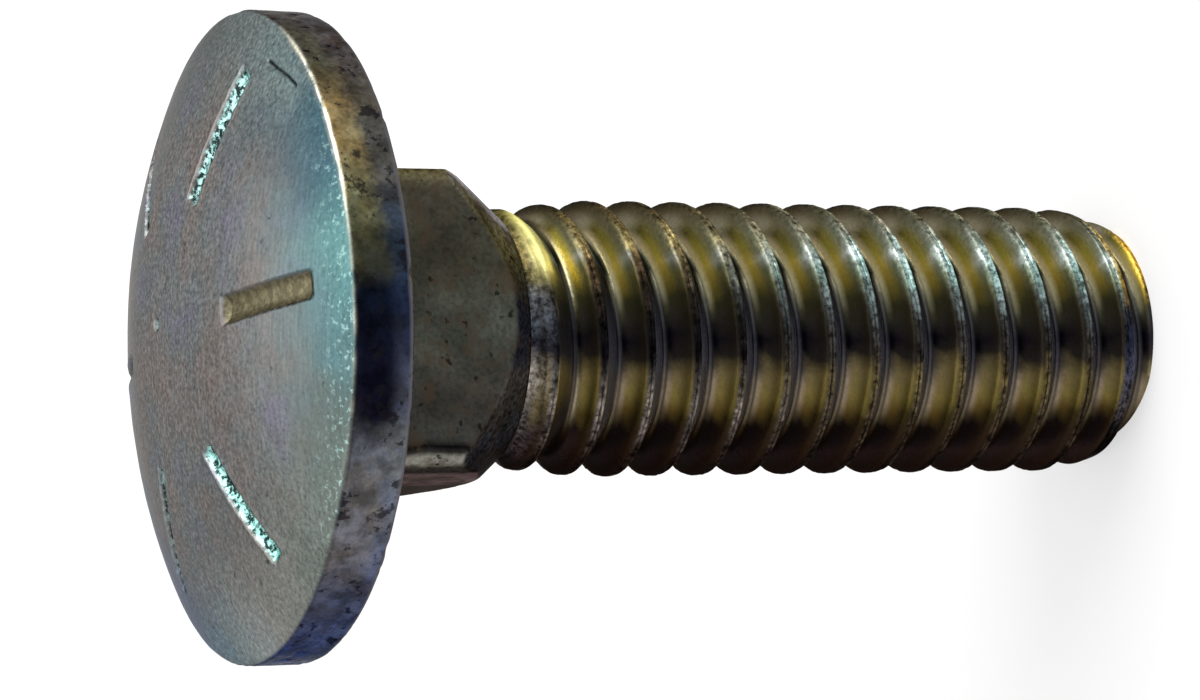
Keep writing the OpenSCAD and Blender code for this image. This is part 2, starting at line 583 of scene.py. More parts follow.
        # Fine lines from the forming die's polish, along +X, drawn wide enough to show.
        drawn = add("Mapping", {"Vector": place, "Scale": (0.1, 1.0, 1.0)})
        lines = add("TexNoise", {"Vector": drawn, "Scale": 1 / self.line_mm, "Detail": 3.0})
        grain = add("TexNoise", {"Vector": place, "Scale": 1 / self.grain_mm, "Detail": 2.0})
        shade = add("MapRange", (lines, 0.35, 0.65, 0.87, 1.08))
        fleck = add("MapRange", (grain, 0.3, 0.7, 0.8, 1.2))
        colour = self.dome(bench, shade, fleck)
        layers = (
            (add("MapRange", (groove, 0.12, 0.5)), self.grooves(bench, broken)),
            (rim, self.side(bench, fleck)),
            (under, self.under_tint),
            # Painted highlight along the crease, where it is also rubbed.
            (crease_highlight, self.crease_highlight_tint),
            (scratch, self.scratch_tint),
        )
        for mask, over in layers:
            colour = add("Mix", {0: mask, 6: colour, 7: over}, data_type="RGBA")
        rough = add("MapRange", (grain, 0.3, 0.7, self.roughness - 0.1, self.roughness + 0.12))
        height = add("Math", (lines, 0.4, grain), operation="MULTIPLY_ADD")
        return self.close(bench, colour, rough, height)


@dataclass(frozen=True)
class NeckFinish(ZincFinish):
    """Square neck: forged and never rubbed, so the film is thick, dull and dark olive brown."""

    # Both charts carry painted light: bright strips where the faces and the cone catch the light, and thin
    # lines of painted shade and painted highlight at the rounded corners.
    faces: FilmAndLightChart = FilmAndLightChart((
        (-180, "#4a4040"), (-90, "#4a463c"), (0, "#4a463c"), (30, "#645f45"), (36, "#696348"),
        (41, "#3f3d34"), (62, "#37372e"), (84, "#474a43"), (112, "#3a3834"), (120.8, "#363734"),
        (122.3, "#0a090b"), (123.6, "#0a090b"), (125, "#87857b"), (126.4, "#8e8c83"), (131, "#443f3d"),
        (138.4, "#080506"), (142.5, "#76686a"), (165, "#76686a"), (180, "#4a4040"),
    ))
    cone: FilmAndLightChart = FilmAndLightChart((
        (-180, "#181617"), (-90, "#4a483f"), (0, "#4a4948"), (18, "#8e8a90"), (34, "#a4a0a6"),
        (40, "#726e60"), (50, "#625e44"), (62, "#4b4938"), (76, "#2a2c32"), (92, "#2b2e3a"),
        (105, "#55514d"), (118, "#403e3b"), (128, "#3a3c42"), (150, "#2d2827"), (180, "#181617"),
    ))
    cloud: Pattern = Pattern(1.1, 3.0, 0.5, (0.35, 0.65), (0.72, 1.28))
    blots: Pattern = Pattern(0.7, 4.0, 0.7, (0.5, 0.62), (0.0, 0.55), "#463a2e")
    pits: Pattern = Pattern(0.32, 2.0, 0.5, (0.66, 0.72), (0.0, 0.8), "#15130f")

    def build(self) -> bpy.types.Material:
        """Build the material."""
        bench = NodeBench(bpy.data.materials.new(self.name))
        add = bench.add
        cone = add("Attribute", attribute_name=Mark.CONE.value).outputs["Fac"]
        faces, slope = self.faces.paint(bench, 0.6, 1.5), self.cone.paint(bench, 6.0, 1.5)
        colour = add("Mix", {0: cone, 6: faces, 7: slope}, data_type="RGBA")
        grain = add("TexNoise", {"Vector": bench.place, "Scale": 1 / self.grain_mm, "Detail": 3.0})
        fleck = add("MapRange", (grain, 0.34, 0.66, 0.7, 1.3))
        tone = add("Math", (fleck, self.cloud.paint(bench)), operation="MULTIPLY")
        colour = add("VectorMath", {0: colour, "Scale": tone}, operation="SCALE")
        # Brown blots in the olive film, and small dark pits.
        for spots in (self.blots, self.pits):
            colour = add("Mix", {0: spots.paint(bench), 6: colour, 7: spots.tint}, data_type="RGBA")
        rough = add("MapRange", (grain, 0.3, 0.7, self.roughness - 0.1, self.roughness + 0.1))
        return self.close(bench, colour, rough, grain)


@dataclass(frozen=True)
class ThreadFinish(ZincFinish):
    """Rolled thread: the dies burnished the flanks, so the film there is glossy gold and olive, under painted
    reflection bands.

    The crests keep the rough skin of the blank. The charts paint the light by angle: silver and blue-green
    highlights on the rubbed crests, navy and mauve grey elsewhere, a cream highlight in the roots and a dark
    band on the side that the camera sees.
    """

    # Every chart paints reflections, highlights and shade by angle over the film's colour.
    flank: FilmAndLightChart = FilmAndLightChart((
        (-180, "#4a4040"), (-150, "#3a3018"), (-120, "#6b5c2c"), (-60, "#8f7c3c"), (0, "#796f60"),
        (15, "#8b8670"), (27, "#645c2e"), (44, "#b7a741"), (52, "#dcc04a"), (59, "#b8a040"),
        (72, "#4c4a2e"), (82, "#44403a"), (90, "#27242a"), (97, "#3c3832"), (107, "#c0af79"),
        (118, "#d5c371"), (127, "#9a8446"), (136, "#332829"), (180, "#4a4040"),
    ))
    crest: FilmAndLightChart = FilmAndLightChart((
        (-180, "#2a231c"), (-140, "#3a342b"), (-60, "#6f6b58"), (0, "#4a453d"), (22, "#716f5c"),
        (36, "#7a796b"), (44, "#7d8c82"), (52, "#9fb5b0"), (60, "#84a19b"), (72, "#5e6969"),
        (84, "#343535"), (96, "#2c2825"), (108, "#52482f"), (118, "#403729"), (134, "#382f26"),
        (152, "#2a231e"), (180, "#2a231c"),
    ))
    crest_side: FilmAndLightChart = FilmAndLightChart((
        (-180, "#17120d"), (-60, "#444135"), (0, "#2b2823"), (22, "#454437"), (47, "#5e6560"),
        (52, "#aab5b2"), (57, "#6a7672"), (62, "#566965"), (72, "#394040"), (84, "#1d1e1e"),
        (96, "#181513"), (108, "#312a1a"), (134, "#201a14"), (152, "#17120f"), (180, "#17120d"),
    ))
    first_crest: FilmAndLightChart = FilmAndLightChart((
        (-180, "#241b16"), (-60, "#6f6b58"), (0, "#352f27"), (22, "#544a34"), (36, "#665b3e"),
        (46, "#8f8054"), (56, "#50422e"), (70, "#28221c"), (86, "#0d0c0e"), (97, "#08070b"),
        (108, "#403d3d"), (118, "#726a64"), (132, "#4a4340"), (148, "#2e2420"), (180, "#241b16"),
    ))
    run_in: FilmAndLightChart = FilmAndLightChart((
        (-180, "#2a2422"), (-60, "#7c7348"), (0, "#5d583c"), (20, "#645c38"), (48, "#4e452a"),
        (65, "#423e2c"), (80, "#5a606a"), (95, "#2c2b35"), (108, "#a29a90"), (118, "#7c746c"),
        (126, "#4c4643"), (140, "#463f40"), (156, "#50474a"), (180, "#2a2422"),
    ))
    shoulder: FilmAndLightChart = FilmAndLightChart((
        (-180, "#3a2c26"), (-60, "#6f6b58"), (0, "#5a5240"), (24, "#605c48"), (36, "#66664f"),
        (47, "#747a65"), (52, "#a8b0a8"), (57, "#6f7558"), (62, "#6f6a41"), (73, "#3a3624"),
        (90, "#26221f"), (97, "#322d27"), (105, "#7d6f43"), (116, "#736634"), (126, "#3a3019"),
        (136, "#33271d"), (155, "#322722"), (180, "#3a2c26"),
    ))
    root: FilmAndLightChart = FilmAndLightChart((
        (-180, "#2a2018"), (-60, "#7d7144"), (0, "#6a6448"), (20, "#8f866a"), (28, "#c4b48c"),
        (38, "#dccb94"), (52, "#ffedb0"), (61, "#fff6c0"), (70, "#c8c298"), (77, "#6c6a50"),
        (83, "#3c3c32"), (89, "#0c0b16"), (95, "#14131a"), (104, "#857b68"), (114, "#ffecc9"),
        (124, "#ffecc5"), (133, "#93876b"), (140, "#3e342a"), (146, "#33291f"), (180, "#2a2220"),
    ))
    deep_root: FilmAndLightChart = FilmAndLightChart((
        (-180, "#2a2220"), (0, "#6a6448"), (30, "#8a8468"), (44, "#2e2f25"), (52, "#1e1f18"),
        (61, "#5c5a4c"), (71, "#4e4e4a"), (80, "#3e3e42"), (90, "#2a2a32"), (102, "#47454a"),
        (112, "#696158"), (123, "#766c60"), (133, "#665b49"), (144, "#3a3024"), (160, "#2a2018"),
        (180, "#2a2220"),
    ))
    shade_flank: FilmAndLightChart = FilmAndLightChart((
        (-180, "#1b1816"), (0, "#1b1816"), (60, "#2a2826"), (80, "#4a4a52"), (90, "#5b5b66"),
        (100, "#6e6b74"), (112, "#6f696c"), (123, "#726b67"), (135, "#776a64"), (150, "#241e1a"),
        (180, "#1b1816"),
    ))
    tip: FilmAndLightChart = FilmAndLightChart((
        (-180, "#1a1614"), (0, "#4a463c"), (20, "#8a7a40"), (32, "#e6bc4c"), (50, "#c09a3c"),
        (64, "#7a6428"), (74, "#26262c"), (90, "#1e2230"), (105, "#3a3c4c"), (120, "#4a4648"),
        (140, "#1c1816"), (180, "#1a1614"),
    ))
    patches: Pattern = Pattern(0.7, 2.0, 0.6, (0.4, 0.6), (0.62, 1.36))
    skin_mm: float = 0.16
    highlight_line_tint: str = "#f6e6b4"
    fold_shade_tint: str = "#0e0c0b"
    run_in_highlight_tint: str = "#fff6a0"

    def crests(
        self, bench: NodeBench, offset: bpy.types.Node, rubbed: bpy.types.Node, skin_tone: bpy.types.Node
    ) -> bpy.types.Node:
        """Colour the crests, with painted shade on the slope toward the head and a painted highlight on it at
        one angle.

        Args:
            bench: The material's bench.
            offset: Distance from the middle of the crest.
            rubbed: How rubbed the crests are, from 0 at the neck to 1 at the tip.
            skin_tone: Tone of the flakes and small pits.

        Returns:
            The node that gives the colour.
        """
        add = bench.add
        fresh, rubbed_and_lit = self.first_crest.paint(bench, 5.0, 1.0), self.crest.paint(bench, 5.0, 1.0)
        colour = add("Mix", {0: rubbed, 6: fresh, 7: rubbed_and_lit}, data_type="RGBA")
        for tone in (skin_tone, self.patches.paint(bench)):
            colour = add("VectorMath", {0: colour, "Scale": tone}, operation="SCALE")
        early, late = (chart.paint(bench, 4.0, 0.8) for chart in (self.first_crest, self.crest_side))
        early = add("VectorMath", {0: early, "Scale": 0.6}, operation="SCALE")
        slope = add("Mix", {0: rubbed, 6: early, 7: late}, data_type="RGBA")
        slope = add("VectorMath", {0: slope, "Scale": skin_tone}, operation="SCALE")
        top = add("MapRange", (offset, -0.1, -0.02), interpolation_type="SMOOTHSTEP")
        colour = add("Mix", {0: top, 6: slope, 7: colour}, data_type="RGBA")
        # Painted highlight: brighter just past the crest's middle, toward the tip.
        crest_highlight_gain = add("MapRange", (offset, 0.02, 0.06, 1.0, 1.3))
        return add("VectorMath", {0: colour, "Scale": crest_highlight_gain}, operation="SCALE")

    def build(self) -> bpy.types.Material:
        """Build the material."""
        bench = NodeBench(bpy.data.materials.new(self.name))
        add, place = bench.add, bench.place
        marks = (Mark.CREST, Mark.SIDE, Mark.RUN_IN, Mark.RUBBED, Mark.TIP)
        away, side, run_in, run_in_highlight, rounded = (
            add("Attribute", attribute_name=mark.value).outputs["Fac"] for mark in marks
        )
        # Distance from the middle of the crest as a share of the pitch, below zero toward the head.
        offset = add("Math", (away, add("Math", (side,), operation="SIGN")), operation="MULTIPLY")
        # Flakes and small pits of the blank's skin along the crest.
        skin = add("TexNoise", {"Vector": place, "Scale": 1 / self.skin_mm, "Detail": 3.0, "Roughness": 0.7})
        skin_tone = add("MapRange", (skin, 0.38, 0.62, 0.3, 1.75))
        # The rubbing grows toward the tip, where the nut has been on.
        rubbed = add("MapRange", (bench.z, 16.0, 9.0), interpolation_type="SMOOTHSTEP")
        # The shoulder toward the head is wide above and narrow below.
        reach = add("MapRange", (bench.x, 0.0, 2.2, -0.12, -0.26))
        shoulder = add("MapRange", (offset, reach, -0.02), interpolation_type="SMOOTHSTEP")
        narrow = add("MapRange", (bench.x, -1.2, 2.0, 0.065, 0.0))
        outside = add("Math", (offset, narrow), operation="ADD")
        brink = add("MapRange", (outside, 0.165, 0.135))
        on_crest = add("Math", (shoulder, brink), operation="MULTIPLY")
        # Painted shade: the upper flank by the crest is darker than the root, with a painted highlight at one
        # angle.
        upper = add("MapRange", (offset, -0.3, -0.15), interpolation_type="SMOOTHSTEP")
        # Painted highlight: a thin bright line where the crest breaks off toward the tip, on the upper side.
        highlight_line = add("MapRange", (offset, 0.11, 0.13))
        broken = add("MapRange", (skin, 0.42, 0.52, 0.2, 1.0))
        for share in (brink, broken, add("MapRange", (bench.x, 2.2, 3.0))):
            highlight_line = add("Math", (highlight_line, share), operation="MULTIPLY")
        # Painted shade: the flank toward the tip is in the shade of its own crest, less in the first turns.
        lower = add("MapRange", (outside, 0.155, 0.18))
        shade_reach = add("MapRange", (bench.z, 19.4, 17.2, 0.25, 1.0))
        lower = add("Math", (lower, shade_reach), operation="MULTIPLY")
        # Painted highlight in the root on the side that rises to the next crest, and painted shade at its
        # bottom.
        root = add("MapRange", (offset, -0.285, -0.36), interpolation_type="SMOOTHSTEP")
        deepest = add("MapRange", (offset, -0.36, -0.4), interpolation_type="SMOOTHSTEP")
        # All three are darker in the first turns.
        first_turns_dimming = add("MapRange", (bench.z, 19.2, 17.0, 0.3, 1.0))
        tip_flank_shade, root_highlight, root_shade = (
            add("VectorMath", {0: chart.paint(bench), "Scale": first_turns_dimming}, operation="SCALE")
            for chart in (self.shade_flank, self.root, self.deep_root)
        )
        # Painted shade in the fold that the dies leave along the crest, on the lower side.
        fold = add("MapRange", (offset, 0.002, 0.02))
        for limits in ((offset, 0.038, 0.02), (bench.x, 1.4, 0.2, 0.0, 0.75)):
            fold = add("Math", (fold, add("MapRange", limits)), operation="MULTIPLY")
        # The blank before the thread, and the rounded tip with its spotted film; their charts paint
        # reflections, and on the tip a gold highlight.
        last = add("MapRange", (bench.z, 1.3, 1.05))
        last = add("Math", (last, rounded), operation="MULTIPLY")
        blank, tip_with_highlight = (
            add("VectorMath", {0: chart, "Scale": skin_tone}, operation="SCALE")
            for chart in (self.run_in.paint(bench, 6.0, 0.8), self.tip.paint(bench, 5.0, 0.8))
        )
        # The flank chart paints gold reflection bands with a dark band between them.
        colour = self.flank.paint(bench)
        layers = (
            (upper, self.shoulder.paint(bench)),
            (on_crest, self.crests(bench, offset, rubbed, skin_tone)),
            (highlight_line, self.highlight_line_tint),
            (lower, tip_flank_shade),
            (root, root_highlight),
            (deepest, root_shade),
            (fold, self.fold_shade_tint),
            (run_in, blank),
            # Painted highlight: the bright spot on the run-in.
            (run_in_highlight, self.run_in_highlight_tint),
            (last, tip_with_highlight),
        )
        for mask, over in layers:
            colour = add("Mix", {0: mask, 6: colour, 7: over}, data_type="RGBA")
        grain = add("TexNoise", {"Vector": place, "Scale": 1 / self.grain_mm, "Detail": 2.0})
        fleck = add("MapRange", (grain, 0.3, 0.7, 0.88, 1.12))
        colour = add("VectorMath", {0: colour, "Scale": fleck}, operation="SCALE")
        rough = add("MapRange", (on_crest, 0.0, 1.0, self.roughness, self.roughness + 0.08))
        height = add("Mix", {0: on_crest, 2: grain, 3: skin}, data_type="FLOAT")
        return self.close(bench, colour, rough, height)


# ---------------------------------------------------------------- pieces


@dataclass
class DomedHead:
    """Low domed head with a straight rim, six grooves, a dimple and a scratch."""

    sizes: BoltSizes
    finish: HeadFinish = HeadFinish(
        name="chromated_zinc_forged_head", roughness=0.36, grain_mm=0.12, bump_mm=0.006,
        metallic=1.0, edge_tint="#aaaaaa",
    )
    steps: int = 384
    ring_mm: float = 0.09
    groove_half: float = 0.42
    groove_widths: tuple[float, ...] = (0.4, 0.42, 0.3, 0.3, 0.3, 0.3)
    groove_roughness: tuple[float, ...] = (1.0, 0.15, 1.0, 1.0, 0.5, 1.0)
    groove_inner: float = 3.78
    groove_outer: float = 7.75
    groove_end: float = 0.3
    groove_wall: float = 2.6
    groove_mm: float = 0.2
    lip_mm: float = 0.01
    worn_mm: float = 0.02
    pit_mm: float = 0.12
    dimple_mm: float = 0.13
    scratch: tuple[tuple[float, float], ...] = ((7.42, 3.56), (7.2, 4.1), (6.95, 4.75), (6.66, 5.29))
    scratch_half: float = 0.075
    scratch_mm: float = 0.05
    margin: float = 0.12
    arc_steps: int = 6
    rim_rows: int = 14
    under_rings: int = 14

    def outline(self) -> list[tuple[float, float]]:
        """Return the half outline from the top of the dome to the middle of the underside."""
        s = self.sizes
        crease_x = s.head_r - s.crease_r
        crease_z = s.ball_z - math.sqrt((s.ball_r - s.crease_r) ** 2 - crease_x**2)
        touch_x = crease_x * s.ball_r / (s.ball_r - s.crease_r)
        count = round(touch_x / self.ring_mm)
        points = []
        for i in range(count + 1):
            r = touch_x * i / count
            points.append((r, s.ball_z - math.sqrt(s.ball_r**2 - r * r)))
        lean = math.acos(crease_x / (s.ball_r - s.crease_r))
        for i in range(1, self.arc_steps + 1):
            a = -lean * (1 - i / self.arc_steps)
            points.append((crease_x + s.crease_r * math.cos(a), crease_z + s.crease_r * math.sin(a)))
        for i in range(1, self.rim_rows):
            points.append((s.head_r, crease_z + (-s.rim_r - crease_z) * i / self.rim_rows))
        for i in range(self.arc_steps + 1):
            a = math.pi / 2 * i / self.arc_steps
            points.append((s.head_r - s.rim_r + s.rim_r * math.cos(a), -s.rim_r + s.rim_r * math.sin(a)))
        for i in range(1, self.under_rings + 1):
            points.append(((s.head_r - s.rim_r) * (1 - i / self.under_rings), 0.0))
        return points

    def groove_places(self, co: np.ndarray) -> tuple[np.ndarray, np.ndarray, np.ndarray]:
        """Return which groove is nearest to each point, and how far the point lies along and beside it.

        Args:
            co: Points in millimetres.

        Returns:
            Distance from the axis along the groove, signed distance beside it, and the groove's number.
        """
        s = self.sizes
        angle = np.degrees(np.arctan2(co[:, 1], co[:, 0])) - s.mark_turn
        span = 360 / s.mark_count
        near = np.radians((angle + span / 2) % span - span / 2)
        r = np.hypot(co[:, 0], co[:, 1])
        number = np.round(angle / 360 * s.mark_count).astype(int) % s.mark_count
        return r * np.cos(near), r * np.sin(near), number

    def scratch_share(self, co: np.ndarray) -> np.ndarray:
        """Return how deep each point lies in the scratch.

        Args:
            co: Points in millimetres.

        Returns:
            0 outside the scratch and 1 on its middle line.
        """
        best = np.full(len(co), 9.0)
        for start, end in zip(self.scratch, self.scratch[1:]):
            a, b = np.array(start), np.array(end)
            along = np.clip((co[:, :2] - a) @ (b - a) / ((b - a) @ (b - a)), 0, 1)
            best = np.minimum(best, np.linalg.norm(co[:, :2] - a - along[:, None] * (b - a), axis=1))
        return smooth_step((self.scratch_half - best) / self.scratch_half)

    def refine_grooves(self, obj: bpy.types.Object) -> None:
        """Split the faces in and beside each groove into smaller ones.

        Args:
            obj: The spun head.
        """
        s = self.sizes
        edit_all(obj)
        bpy.ops.mesh.select_all(action="DESELECT")
        bpy.ops.object.mode_set(mode="OBJECT")
        count = len(obj.data.polygons)
        centre = np.zeros(count * 3)
        obj.data.polygons.foreach_get("center", centre)
        centre = centre.reshape(-1, 3)
        u, v, _ = self.groove_places(centre)
        chosen = np.abs(v) < self.groove_half + self.margin
        chosen &= (u > self.groove_inner - 0.15) & (u < self.groove_outer + 0.15) & (centre[:, 2] < -s.rim_h)
        first, last = self.scratch[0], self.scratch[-1]
        low = np.minimum(first, last) - self.margin
        high = np.maximum(first, last) + self.margin
        inside = ((centre[:, :2] > low) & (centre[:, :2] < high)).all(axis=1)
        chosen |= inside & (centre[:, 2] < -s.rim_h)
        obj.data.polygons.foreach_set("select", chosen)
        make_active(obj)
        bpy.ops.object.mode_set(mode="EDIT")
        bpy.ops.mesh.select_mode(type="FACE")
        bpy.ops.mesh.subdivide(number_cuts=2)
        bpy.ops.object.mode_set(mode="OBJECT")

    def build(self) -> bpy.types.Object:
        """Build the head's mesh and dress it.

        Returns:
            The finished piece.
        """
        s = self.sizes
        obj = draw_outline("domed_head", self.outline())
        edit_all(obj)
        bpy.ops.mesh.spin(steps=self.steps, angle=TURN, center=(0, 0, 0), axis=(0, 0, 1))
        merge_close(obj, 2e-4)
        self.refine_grooves(obj)
        co = points_of(obj)
        normals = np.zeros(len(co) * 3)
        obj.data.vertex_normals.foreach_get("vector", normals)
        normals = normals.reshape(-1, 3)
        u, v, number = self.groove_places(co)
        roughness = np.array(self.groove_roughness)[number]
        r = np.hypot(co[:, 0], co[:, 1])
        on_dome = smooth_step((-s.rim_h - co[:, 2]) / 0.1)
        rim = smooth_step((co[:, 2] + s.rim_h + 0.06) / 0.1) * smooth_step((r - 8.6) / 0.3)
        under = smooth_step((co[:, 2] + s.rim_r) / s.rim_r) * (1 - smooth_step((r - 8.85) / 0.15))
        half = np.array(self.groove_widths)[number] * (1 + 0.12 * lumps(co, 0.25, 15.1) * roughness)
        across = np.clip(1 - (np.abs(v) / half) ** self.groove_wall, 0, 1) ** 0.9
        ends = smooth_step((u - self.groove_inner) / self.groove_end)
        ends *= smooth_step((self.groove_outer - u) / self.groove_end) * on_dome
        groove = across * ends
        struck = lumps(co, 0.3, 3.1) * 0.05 + lumps(co, 0.14, 9.7) * 0.03
        sink = groove * (self.groove_mm + struck * roughness)
        sink -= self.lip_mm * np.exp(-(((np.abs(v) - half - 0.06) / 0.07) ** 2)) * ends
        sink += self.worn_mm + 0.012 * lumps(co, 2.4, 5.5) + 0.005 * lumps(co, 0.6, 1.7)
        pits = np.clip(lumps(co, 0.38, 21.3) - 0.3, 0, 1) + np.clip(lumps(co, 0.8, 31.3) - 0.35, 0, 1)
        sink += rim * (0.01 + 0.016 * lumps(co, 1.1, 7.9) + self.pit_mm * pits)
        spot = np.radians(s.dimple_turn)
        off = np.hypot(co[:, 0] - s.dimple_offset * np.cos(spot), co[:, 1] - s.dimple_offset * np.sin(spot))
        dimple = smooth_step((s.dimple_r + 0.04 - off) / 0.2) * on_dome
        cut = self.scratch_share(co) * on_dome
        sink += self.dimple_mm * dimple + self.scratch_mm * cut
        move_points(obj, co - normals * sink[:, None])
        # Painted highlight along the crease on the lit side, in patches, where the crease is also rubbed.
        crease = np.exp(-(((r - 8.99) / 0.05) ** 2) - ((co[:, 2] + s.rim_h + 0.01) / 0.06) ** 2)
        angle = np.degrees(np.arctan2(co[:, 1], co[:, 0]))
        lit = smooth_step((angle - 18) / 12) * (1 - smooth_step((angle - 50) / 22))
        faint = smooth_step((angle - 55) / 15) * (1 - smooth_step((angle - 100) / 20))
        rubbed_and_lit = crease * (0.75 + 1.3 * lumps(co, 0.5, 13.3)) * (1.2 * lit + 0.3 * faint)
        values = {
            Mark.GROOVE: np.maximum(groove, dimple), Mark.STRUCK: roughness, Mark.RIM: rim, Mark.UNDER: under,
            Mark.SCRATCH: cut, Mark.WEAR: np.clip(rubbed_and_lit, 0, 1),
        }
        for mark, numbers in values.items():
            keep_value(obj, mark, numbers)
        obj.data.materials.append(self.finish.build())
        return stand_up(obj, 50)


@dataclass
class SquareNeck:
    """Square neck with rounded corners, cut off by a cone."""

    sizes: BoltSizes
    finish: NeckFinish = NeckFinish(
        name="chromated_zinc_forged_neck", roughness=0.5, grain_mm=0.13, bump_mm=0.01,
        metallic=1.0, edge_tint="#7c766e",
    )
    columns: int = 384
    rows: int = 62
    buried: float = 0.25
    edge_round: float = 0.07
    worn_mm: float = 0.008

    def square_radius(self, angle: np.ndarray) -> np.ndarray:
        """Return the rounded square's radius at each angle.

        Args:
            angle: Angles about the axis in radians.

        Returns:
            Distance from the axis to the outline in millimetres.
        """
        s = self.sizes
        turned = angle - math.radians(s.neck_turn)
        c, n = np.abs(np.cos(turned)), np.abs(np.sin(turned))
        big, small = np.maximum(c, n), np.minimum(c, n)
        half = s.neck_w / 2
        flat = half / big
        centre = half - s.neck_corner_r
        along = centre * (big + small)
        under = np.maximum(along**2 - (2 * centre**2 - s.neck_corner_r**2), 0)
        corner = along + np.sqrt(under)
        return np.where(flat * small > centre, corner, flat)

    def build(self) -> bpy.types.Object:
        """Build the neck's mesh and dress it.

        Returns:
            The finished piece.
        """
        s = self.sizes
        length = s.neck_end_z + self.buried
        deselect_all()
        bpy.ops.mesh.primitive_cylinder_add(
            vertices=self.columns, depth=length, location=(0, 0, length / 2 - self.buried)
        )
        obj = bpy.context.object
        obj.name = "square_neck"
        bpy.ops.object.transform_apply(location=True, rotation=True, scale=True)
        mesh = obj.data
        edit_all(obj)
        bpy.ops.mesh.select_mode(type="EDGE")
        bpy.ops.mesh.select_all(action="DESELECT")
        bpy.ops.object.mode_set(mode="OBJECT")
        for edge in mesh.edges:
            a, b = (mesh.vertices[i].co.z for i in edge.vertices)
            edge.select = abs(a - b) > length / 2
        bpy.ops.object.mode_set(mode="EDIT")
        bpy.ops.mesh.subdivide(number_cuts=self.rows - 1)
        bpy.ops.object.mode_set(mode="OBJECT")
        co = points_of(obj)
        angle = np.arctan2(co[:, 1], co[:, 0])
        cone = s.shank_r + s.neck_step + (s.neck_end_z - co[:, 2]) * math.tan(math.radians(s.neck_cone))
        square = self.square_radius(angle)
        r = smooth_min(square, cone, self.edge_round)
        flat = np.stack([r * np.cos(angle), r * np.sin(angle), co[:, 2]], 1)
        sink = self.worn_mm + 0.006 * lumps(flat, 1.3, 2.2) + 0.004 * lumps(flat, 0.35, 8.8)
        r = r - sink
        co[:, 0], co[:, 1] = r * np.cos(angle), r * np.sin(angle)
        move_points(obj, co)
        keep_value(obj, Mark.CONE, smooth_step((square - cone + 0.05) / 0.1))
        obj.data.materials.append(self.finish.build())
        return stand_up(obj, 50)


